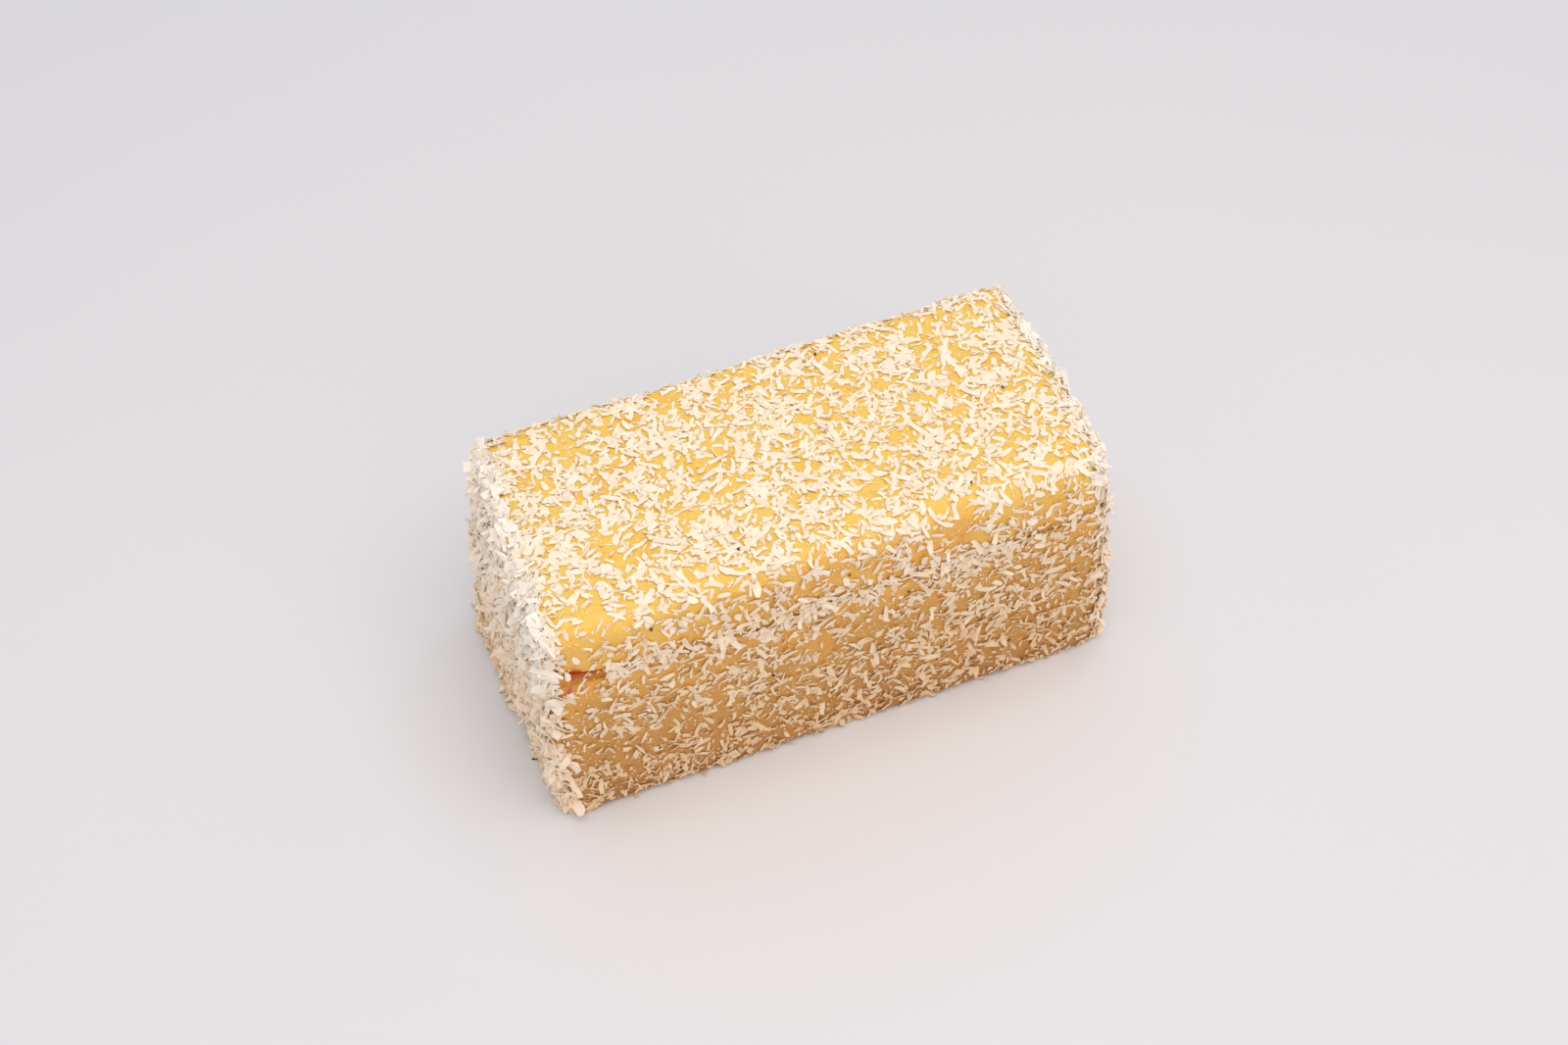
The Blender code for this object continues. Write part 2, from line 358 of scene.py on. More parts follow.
    @staticmethod
    def _in_order(bm: bmesh.types.BMesh) -> bmesh.types.BMesh:
        """Rebuilds a block with its faces and their corners in an order that no run changes.

        Args:
            bm: The block as cut, which is freed.

        Returns:
            The same block, in order.
        """
        bm.verts.index_update()
        rings = []
        for face in bm.faces:
            ring = [v.index for v in face.verts]
            start = ring.index(min(ring))
            rings.append(ring[start:] + ring[:start])
        ordered = bmesh.new()
        verts = [ordered.verts.new(v.co) for v in bm.verts]
        for ring in sorted(rings):
            ordered.faces.new([verts[i] for i in ring])
        bm.free()
        return ordered

    def _round(
        self, bm: bmesh.types.BMesh, edges: list[bmesh.types.BMEdge], radius: float
    ) -> None:
        """Rounds some edges of a block.

        Args:
            bm: The block.
            edges: Its edges to round.
            radius: Their radius.
        """
        bmesh.ops.bevel(
            bm, geom=edges, offset=radius, segments=self.rim_facets, profile=0.5, affect="EDGES"
        )


@dataclass(frozen=True)
class BarePatch:
    """A place on the outside that the coconut missed."""

    centre: tuple[float, float, float]
    radius: float
    depth: float = 1.0

    def left(self, point: Vector) -> float:
        """The share of coconut left at a point."""
        return 1.0 - self.depth * bell((point - Vector(self.centre)).length, self.radius)


@dataclass(frozen=True)
class Finish:
    """A material: its name, and how its surface shines, lets light in and stands out."""

    name: str
    roughness: float = 0.5
    ior: float = 1.5
    specular: float = 0.5
    glow: float = 0.0
    glow_reach: tuple[float, float, float] = (1.0, 0.2, 0.1)
    glow_depth: float = 50.0 * MM
    relief: float = 0.0
    relief_depth: float = 1.0 * MM

    def make(self) -> bpy.types.Material:
        """Builds the material.

        Returns:
            The material.
        """
        material = bpy.data.materials.new(self.name)
        material.use_nodes = True
        tree = material.node_tree
        shader = tree.nodes["Principled BSDF"]
        place = add_node(tree, "ShaderNodeTexCoord").outputs["Object"]
        colour, height = self.surface(tree, place)
        tree.links.new(colour, shader.inputs["Base Color"])
        if self.relief:
            inputs = {"Height": height, "Strength": self.relief, "Distance": self.relief_depth}
            bump = add_node(tree, "ShaderNodeBump", inputs)
            tree.links.new(bump.outputs["Normal"], shader.inputs["Normal"])
        values = {
            "Roughness": self.roughness,
            "IOR": self.ior,
            "Specular IOR Level": self.specular,
            "Subsurface Weight": self.glow,
            "Subsurface Radius": self.glow_reach,
            "Subsurface Scale": self.glow_depth,
        }
        for name, value in values.items():
            shader.inputs[name].default_value = value
        return material

    def surface(self, tree: Tree, place: Socket) -> tuple[Socket, Socket]:
        """The colour of the surface, and the height of its relief.

        Args:
            tree: The material's tree.
            place: Object coordinates.

        Returns:
            The sockets of the colour and of the height.
        """
        raise NotImplementedError

    @staticmethod
    def painted_foot_shade(tree: Tree, place: Socket) -> Socket:
        """How much painted shade darkens a height: 1 at the underside, 0 at the top.

        Args:
            tree: The material's tree.
            place: Object coordinates.

        Returns:
            The socket of the level.
        """
        # Painted shade: a ramp by height alone, darkest at the underside
        height = add_node(tree, "ShaderNodeSeparateXYZ", {0: place}).outputs["Z"]
        inputs = {"Value": height, "From Max": FOOT_SHADE_TOP, "To Min": 1.0, "To Max": 0.0}
        return add_node(tree, "ShaderNodeMapRange", inputs).outputs[0]


@dataclass(frozen=True)
class MoistCrumb(Finish):
    """Sponge soaked with syrup: a wet yellow crumb with small pores, seen through by the light.

    The eye gets a clear lemon yellow on the glazed top and a deeper gold on the sides, which
    turns to amber towards the base; this darkening with height is painted shade at the foot.
    It glows a little from inside, and a pale meal of fine coconut dust sticks to it.
    """

    roughness: float = 0.45
    ior: float = 1.4
    glow: float = 0.6
    glow_reach: tuple[float, float, float] = (1.0, 0.87, 0.45)
    glow_depth: float = 0.8 * MM
    relief: float = 0.5
    relief_depth: float = 0.25 * MM
    # The tones run from the top to the underside; their darkening to amber is painted shade at the
    # foot
    tones: Stops = (
        (0.0, "#F5CB57"),
        (0.08, "#F3C24C"),
        (0.2, "#EEB445"),
        (0.5, "#D29A37"),
        (0.8, "#C48A30"),
        (1.0, "#AE7228"),
    )
    stains: Stops = ((0.5, "#F7B733"), (0.9, "#C0500F"))
    dust: str = "#FCEBD3"
    wander: float = 0.5
    pore_size: float = 0.9 * MM
    cloud_size: float = 5.0 * MM
    grain_size: float = 0.35 * MM

    def surface(self, tree: Tree, place: Socket) -> tuple[Socket, Socket]:
        """Gold that deepens towards the foot as painted shade, stained by jam and dusted, over pores
        and grain.

        Args:
            tree: The material's tree.
            place: Object coordinates.

        Returns:
            The sockets of the colour and of the height.
        """
        inputs = {"Vector": place, "Scale": SPOT / self.cloud_size, "Detail": 4.0}
        clouds = add_node(tree, "ShaderNodeTexNoise", inputs)
        spread = add_node(tree, "ShaderNodeMath", {0: clouds, 1: 0.5}, operation="SUBTRACT")
        # Painted shade: the tone darkens by height towards the underside, spread by random clouds
        inputs = {0: spread, 1: self.wander, 2: self.painted_foot_shade(tree, place)}
        tone_and_foot_shade = add_node(tree, "ShaderNodeMath", inputs, operation="MULTIPLY_ADD")
        tone = add_node(tree, "ShaderNodeValToRGB", {"Fac": tone_and_foot_shade})
        set_stops(tone.color_ramp, self.tones)

        soaked = add_node(tree, "ShaderNodeAttribute", attribute_name=JAM_STAIN).outputs["Fac"]
        stain = add_node(tree, "ShaderNodeValToRGB", {"Fac": soaked})
        set_stops(stain.color_ramp, self.stains)
        inputs = {0: soaked, COLOUR_A: tone, COLOUR_B: stain}
        stained = add_node(tree, "ShaderNodeMix", inputs, data_type="RGBA").outputs[MIXED]
        dusting = add_node(tree, "ShaderNodeAttribute", attribute_name=DUSTING).outputs["Fac"]
        inputs = {0: dusting, COLOUR_A: stained, COLOUR_B: linear_colour(self.dust)}
        dusted = add_node(tree, "ShaderNodeMix", inputs, data_type="RGBA").outputs[MIXED]

        inputs = {"Vector": place, "Scale": 1 / self.pore_size}
        pores = add_node(tree, "ShaderNodeTexVoronoi", inputs, feature="SMOOTH_F1")
        inputs = {"Vector": place, "Scale": SPOT / self.grain_size}
        grain = add_node(tree, "ShaderNodeTexNoise", inputs)
        height = add_node(tree, "ShaderNodeMath", {0: pores, 1: grain}, operation="ADD")
        return dusted, height.outputs[0]


@dataclass(frozen=True)
class ApricotJam(Finish):
    """Boiled apricot jam: a clear orange gel with a wet gloss.

    The eye gets bright orange where it is thin, red-brown where it is thick, and sharp lights;
    the red-brown along the top of the bed is painted shade under the upper layer.
    """

    name: str = "apricot_jam"
    roughness: float = 0.3
    ior: float = 1.36
    glow: float = 0.5
    glow_reach: tuple[float, float, float] = (1.0, 0.35, 0.08)
    glow_depth: float = 2.5 * MM
    relief: float = 0.4
    relief_depth: float = 0.4 * MM
    soaked_in: str = "#DFA347"
    # Red-brown for thick jam and for the painted shade near the bed's top; orange for thin jam
    tones: Stops = ((0.62, "#B5540F"), (1.0, "#F39D2A"))
    lump_size: float = 1.1 * MM
    lump_contrast: float = 1.6

    def surface(self, tree: Tree, place: Socket) -> tuple[Socket, Socket]:
        """Thick and thin patches in the pool, painted shade at the bed's top, jam soaked into crumb
        elsewhere.

        Args:
            tree: The material's tree.
            place: Object coordinates.

        Returns:
            The sockets of the colour and of the height.
        """
        inputs = {"Vector": place, "Scale": SPOT / self.lump_size, "Detail": 3.0}
        lumps = add_node(tree, "ShaderNodeTexNoise", inputs)
        # Painted shade: the jam is darker the nearer it lies to the top of the bed, under the upper
        # layer
        depth = add_node(tree, "ShaderNodeAttribute", attribute_name=JAM_SHADE_DEPTH).outputs["Fac"]
        inputs = {0: lumps, 1: self.lump_contrast, 2: depth}
        thin_and_lit = add_node(tree, "ShaderNodeMath", inputs, operation="MULTIPLY_ADD")
        tone = add_node(tree, "ShaderNodeValToRGB", {"Fac": thin_and_lit})
        set_stops(tone.color_ramp, self.tones)
        pooled = add_node(tree, "ShaderNodeAttribute", attribute_name=POOLED).outputs["Fac"]
        inputs = {0: pooled, COLOUR_A: linear_colour(self.soaked_in), COLOUR_B: tone}
        colour = add_node(tree, "ShaderNodeMix", inputs, data_type="RGBA")
        return colour.outputs[MIXED], lumps.outputs["Fac"]


@dataclass(frozen=True)
class CoconutFlesh(Finish):
    """Dried and grated coconut flesh, some of it wet with syrup.

    The eye gets warm white slivers with soft edges, each of a slightly different white, the
    wet ones more cream, and lower down all turn darker and creamier as painted shade.
    """

    name: str = "grated_coconut"
    roughness: float = 0.55
    ior: float = 1.45
    specular: float = 0.3
    relief: float = 0.2
    relief_depth: float = 0.05 * MM
    dry: str = "#FEF1D9"
    # Cream of wet flakes, darkened to serve also as the painted shade towards the foot
    wet_and_shaded: str = "#EACCA0"
    dry_below: float = 0.28
    fibre_size: float = 0.3 * MM
    fibre_share: float = 0.25
    # How far the painted shade towards the foot turns the flakes cream
    foot_shade_share: float = 0.75

    def surface(self, tree: Tree, place: Socket) -> tuple[Socket, Socket]:
        """White that turns to cream at random and, as painted shade, towards the foot, with a faint
        grain of fibres.

        Args:
            tree: The material's tree.
            place: Object coordinates.

        Returns:
            The sockets of the colour and of the height.
        """
        shade = add_node(tree, "ShaderNodeAttribute", attribute_name=SHADE).outputs["Fac"]
        inputs = {"Vector": place, "Scale": SPOT / self.fibre_size}
        fibre = add_node(tree, "ShaderNodeTexNoise", inputs)
        inputs = {0: fibre, 1: self.fibre_share, 2: shade}
        blotch = add_node(tree, "ShaderNodeMath", inputs, operation="MULTIPLY_ADD")
        # Painted shade: the flakes turn darker and creamier towards the underside by height
        inputs = {0: self.painted_foot_shade(tree, place), 1: self.foot_shade_share, 2: blotch}
        wetness_and_shade = add_node(tree, "ShaderNodeMath", inputs, operation="MULTIPLY_ADD")
        tone = add_node(tree, "ShaderNodeValToRGB", {"Fac": wetness_and_shade})
        set_stops(tone.color_ramp, ((self.dry_below, self.dry), (1.0, self.wet_and_shaded)))
        return tone.outputs["Color"], fibre.outputs["Fac"]


@dataclass(frozen=True)
class Mottled(Finish):
    """A dull surface of two tones in soft spots, with no relief."""

    tones: Stops = ()
    spot_size: float = 1.0 * MM

    def surface(self, tree: Tree, place: Socket) -> tuple[Socket, Socket]:
        """Spots of the two tones.

        Args:
            tree: The material's tree.
            place: Object coordinates.

        Returns:
            The sockets of the colour and of the height.
        """
        inputs = {"Vector": place, "Scale": SPOT / self.spot_size}
        spots = add_node(tree, "ShaderNodeTexNoise", inputs)
        tone = add_node(tree, "ShaderNodeValToRGB", {"Fac": spots})
        set_stops(tone.color_ramp, self.tones)
        return tone.outputs["Color"], spots.outputs["Fac"]


@dataclass(frozen=True)
class CoconutSkin(Mottled):
    """Specks of the nut's brown inner skin that went through the grater: dull dark brown."""

    name: str = "coconut_skin"
    roughness: float = 0.6
    tones: Stops = ((0.4, "#2E1A0E"), (0.65, "#7A4A22"))
    spot_size: float = 0.3 * MM


@dataclass(frozen=True)
class PaintedTable(Mottled):
    """A painted table top, rolled smooth: a pale grey that looks plain, with a soft sheen."""

    name: str = "table_top"
    roughness: float = 0.55
    tones: Stops = ((0.0, "#E2E2E4"), (1.0, "#E4E4E6"))
    spot_size: float = 55.6 * MM


@dataclass
class SpongeLayers:
    """The two layers of sponge, with the open crumb of their cut sides.

    The stain's patches are its even and its patchy share; its strength is the least, and what
    the pool adds to it.
    """

    form: SliceForm
    voxel: float = 0.6 * MM
    coarse_cell: float = 2.5 * MM
    dent_size: float = 3.2 * MM
    dent_depth: float = 0.12 * MM
    pore_size: float = 1.5 * MM
    pore_depth: float = 0.22 * MM
    pore_rim: float = 0.45
    dust_size: float = 1.2 * MM
    dust_cover: float = 0.12
    end_dust: float = 0.6
    end_inset: float = 0.1 * MM
    stain_reach: float = 5.0 * MM
    stain_pool: float = 11.0 * MM
    stain_patch: float = 1.6 * MM
    stain_reach_dry: float = 0.15
    stain_fall_above: float = 2.5
    stain_patches: tuple[float, float] = (0.8, 0.7)
    stain_strength: tuple[float, float] = (0.3, 0.8)

    def build(self) -> list[bpy.types.Object]:
        """Builds both layers.

        Returns:
            The lower and the upper layer.
        """
        layers = (
            (self._lower_block, "sponge_lower", "soaked_sponge"),
            (self._upper_block, "sponge_upper", "glazed_sponge"),
        )
        return [self._layer(block(), node, slot) for block, node, slot in layers]

    def _lower_block(self) -> bmesh.types.BMesh:
        """The lower layer, whose upper face follows the jam.

        Returns:
            The layer's form, with its sides still smooth.
        """
        form = self.form
        top = form.seam_height_mid
        rims = (form.seam_rim_radius, form.base_rim_radius)
        bm = form.block(0.0, top, self.coarse_cell, rims)
        for v in bm.verts:
            drop = top - form.jam_bottom(v.co.x, v.co.y) + form.gap
            v.co.z -= drop * form.seam_pull(v.co.z / top)
            v.co = form.settle(v.co)
        return bm

    def _upper_block(self) -> bmesh.types.BMesh:
        """The upper layer, whose underside follows the jam.

        Returns:
            The layer's form, with its sides still smooth.
        """
        form = self.form
        base = form.seam_height_mid
        rims = (form.top_rim_radius, form.seam_rim_radius)
        bm = form.block(base, form.height, self.coarse_cell, rims)
        for v in bm.verts:
            lift = form.jam_top(v.co.x, v.co.y) + form.gap - base
            v.co.z += lift * form.seam_pull((form.height - v.co.z) / (form.height - base))
            v.co = form.settle(v.co)
        return bm

    def _layer(self, bm: bmesh.types.BMesh, node: str, slot: str) -> bpy.types.Object:
        """Turns a block into a finished layer.

        Args:
            bm: Its form.
            node: The CAD node that it stands for.
            slot: The record's slot of its finish.

        Returns:
            The finished piece.
        """
        layer = object_from_bmesh(f"{node}_crumb", bm)
        remesh = layer.modifiers.new("even_cells", "REMESH")
        remesh.mode = "VOXEL"
        remesh.voxel_size = self.voxel
        apply_modifiers(layer)
        self._open_crumb(layer.data)
        points = [v.co.copy() for v in layer.data.vertices]
        normals = [n.vector.copy() for n in layer.data.vertex_normals]
        store(layer, DUSTING, (self._dusting(p, n) for p, n in zip(points, normals)))
        store(layer, JAM_STAIN, (self._stain(p) for p in points))
        layer.data.shade_smooth()
        layer.data.materials.append(MoistCrumb(f"{slot}_crumb").make())
        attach(layer, "root")
        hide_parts(node)
        return layer

    def _open_crumb(self, mesh: bpy.types.Mesh) -> None:
        """Presses dents and pores into the outside of a layer, and leaves its underside flat.

        Args:
            mesh: The layer's mesh, in even cells.
        """
        normals = [n.vector.copy() for n in mesh.vertex_normals]
        for v, normal in zip(mesh.vertices, normals):
            if v.co.z < self.voxel:
                v.co.z = max(v.co.z, 0.0)
                continue
            dent = noise.noise(v.co / self.dent_size) * self.dent_depth
            near = noise.voronoi(v.co / self.pore_size)[0][0]
            pore = self.pore_depth * max(0.0, self.pore_rim - near) / self.pore_rim
            inset = self.end_inset * self.form.end_share(normal)
            v.co += normal * (dent - pore - inset) + self.form.clumps(v.co, normal)

    def _dusting(self, point: Vector, normal: Vector) -> float:
        """How white with coconut dust a point is: the ends wholly, the rest a little."""
        patch = 0.5 + 0.5 * noise.noise(point / self.dust_size)
        return self.form.end_share(normal) ** 2 * self.end_dust + self.dust_cover * patch

    def _stain(self, point: Vector) -> float:
        """How much jam has soaked in at a point.

        Args:
            point: A point of the settled slice.

        Returns:
            The share of jam in the crumb, 0 to 1.
        """
        form = self.form
        below = max(0.0, form.jam_bottom(point.x, point.y) - point.z)
        above = max(0.0, point.z - form.jam_top(point.x, point.y))
        off = math.hypot(point.x + form.length / 2, point.y + form.width / 2)
        pool = bell(off, self.stain_pool)
        reach = self.stain_reach * (self.stain_reach_dry + pool)
        even, patchy = self.stain_patches
        wander = even + patchy * noise.noise(point / self.stain_patch)
        least, more = self.stain_strength
        fall = bell(below + self.stain_fall_above * above, reach)
        return min(1.0, fall * wander * (least + more * pool))


@dataclass
class JamBed:
    """The bed of apricot jam, thin all over and pooled at one front corner."""

    form: SliceForm
    cell: float = 1.1 * MM
    inset: float = 0.05 * MM
    swell: float = 0.35 * MM
    lump_size: float = 1.4 * MM
    lump_height: float = 0.3 * MM
    shown: tuple[float, float] = (10.0 * MM, 16.0 * MM)
    # Painted shade under the upper layer: the depth at which it has faded, its cap and its offset
    full_depth: float = 5.5 * MM
    shade_depth_cap: float = 0.8
    gloom: float = 0.28
    rim_share: float = 0.95

    def build(self) -> list[bpy.types.Object]:
        """Builds the bed.

        Returns:
            The bed alone.
        """
        form = self.form
        middle = form.jam_thickness / 2
        bm = form.block(0.0, form.jam_thickness, self.cell, (0.0, 0.0), self.inset)
        for v in bm.verts:
            low = v.co.z < middle
            side = v.co.z / form.jam_thickness
            outward = self.swell * form.pool(v.co.x, v.co.y)
            v.co.xy -= Vector((outward, outward))
            bottom, top = form.jam_bottom(v.co.x, v.co.y), form.jam_top(v.co.x, v.co.y)
            v.co.z = bottom + (top - bottom) * side
            v.co = form.settle(v.co)
            if low:
                v.co.z += form.gap
        bed = object_from_bmesh("apricot_jam_bed", bm)
        for v in bed.data.vertices:
            v.co += self._lump(v.co)
        corner = Vector((-form.length, -form.width)) / 2
        near = (1 - ease(*self.shown, (v.co.xy - corner).length) for v in bed.data.vertices)
        store(bed, POOLED, near)
        # Painted shade on the jam, by its depth below the top of the bed
        store(bed, JAM_SHADE_DEPTH, (self._depth(v.co) for v in bed.data.vertices))
        bed.data.shade_smooth()
        bed.data.materials.append(ApricotJam().make())
        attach(bed, "root")
        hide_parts("jam_filling")
        return [bed]

    def _depth(self, point: Vector) -> float:
        """How bright the jam is painted at a point: darker near the bed's top, as painted shade
        under the upper layer.
        """
        below = max(0.0, self.form.jam_top(point.x, point.y) - point.z)
        return min(self.shade_depth_cap, below / self.full_depth) - self.gloom

    def _lump(self, point: Vector) -> Vector:
        """How far the outer rim of the bed bulges at a point, level with the table.

        Args:
            point: A point of the settled slice.

        Returns:
            The way from the point to the bulge.
        """
        form = self.form
        edge = max(abs(point.x) / (form.length / 2), abs(point.y) / (form.width / 2))
        if edge < self.rim_share:
            return Vector()
        push = noise.noise_vector(point / self.lump_size) * self.lump_height
        return Vector((push.x, push.y, 0.0))


class CutShape(Enum):
    """How a bit of coconut was cut by the grater."""

    SHRED = "shred"
    CHIP = "chip"
    GRAIN = "grain"


@dataclass(frozen=True)
class CoconutCut:
    """One kind of coconut bit, from which a few different ones are made."""

    name: str
    shape: CutShape
    length: tuple[float, float]
    width: tuple[float, float]
    thickness: tuple[float, float]
    variants: int
    seed: int
    joints: int = 2
    curl: float = 0.14
    ragged: float = 0.3
    corners: tuple[int, ...] = (5, 6, 7)
    sag_from: float = -0.4
    tip_widths: tuple[float, float] = (0.1, 0.95)
    tip_thickness: float = 0.5
    chip_radii: tuple[float, float] = (0.55, 1.2)

    def collection(self) -> bpy.types.Collection:
        """Makes the variants, in a collection that a scatter can draw from.

        Returns:
            The collection, linked to no scene.
        """
        rng = random.Random(self.seed)
        collection = bpy.data.collections.new(self.name)
        for number in range(self.variants):
            bm = self._chip(rng) if self.shape is CutShape.CHIP else self._strip(rng)
            bmesh.ops.recalc_face_normals(bm, faces=bm.faces)
            mesh = bpy.data.meshes.new(f"{self.name}_{number}")
            bm.to_mesh(mesh)
            bm.free()
            collection.objects.link(bpy.data.objects.new(mesh.name, mesh))
        return collection

    def _strip(self, rng: random.Random) -> bmesh.types.BMesh:
        """A bent sliver with ragged ends, lying along X.

        Args:
            rng: Draws its sizes and bends.

        Returns:
            The sliver.
        """
        usual_length = self.length[0] * 0.8 + self.length[1] * 0.2
        length = rng.triangular(*self.length, usual_length)
        width = rng.uniform(*self.width)
        thickness = rng.uniform(*self.thickness)
        bm = bmesh.new()
        bmesh.ops.create_cube(bm, size=1.0)
        for joint in range(1, self.joints + 1):
            cut = (joint / (self.joints + 1) - 0.5, 0.0, 0.0)
            whole = bm.verts[:] + bm.edges[:] + bm.faces[:]
            bmesh.ops.bisect_plane(bm, geom=whole, plane_co=cut, plane_no=(1.0, 0.0, 0.0))
        bow, sag = rng.uniform(-1, 1) * self.curl, rng.uniform(self.sag_from, 1) * self.curl
        twist = rng.uniform(-1, 1) * self.curl * 2
        tips = (rng.uniform(*self.tip_widths), rng.uniform(*self.tip_widths))
        for v in bm.verts:
            along = v.co.x * 2
            taper = 1 - (1 - tips[along > 0]) * abs(along) ** 2
            turn = Matrix.Rotation(twist * along, 3, "X")
            thinned = self.tip_thickness + (1 - self.tip_thickness) * taper
            y, z = v.co.y * width * taper, v.co.z * thickness * thinned
            ragged = Vector([rng.uniform(-1, 1) * self.ragged * s for s in (width, width, 0.0)])
            v.co = turn @ Vector((0.0, y, z)) + ragged
            v.co.x += along * length / 2
            v.co.y += bow * along**2 * length / 2
            v.co.z += sag * along**2 * length / 2
        return bm

    def _chip(self, rng: random.Random) -> bmesh.types.BMesh:
        """A flat shaving with a broken outline, curled a little.

        Args:
            rng: Draws its sizes and outline.

        Returns:
            The shaving.
        """
        length = rng.uniform(*self.length)
        width = rng.uniform(*self.width)
        thickness = rng.uniform(*self.thickness)
        bm = bmesh.new()
        corners = rng.choice(self.corners)
        bmesh.ops.create_circle(bm, cap_ends=True, radius=0.5, segments=corners)
        for v in bm.verts:
            v.co *= rng.uniform(*self.chip_radii)
        grown = bmesh.ops.extrude_face_region(bm, geom=bm.faces[:])["geom"]
        upper = {g for g in grown if isinstance(g, bmesh.types.BMVert)}
        curl = rng.uniform(-1, 1) * self.curl
        for v in bm.verts:
            x, y = v.co.x * length, v.co.y * width
            lift = thickness / 2 if v in upper else -thickness / 2
            v.co = Vector((x, y, lift + curl * (2 * x / length) ** 2 * length / 4))
        return bm


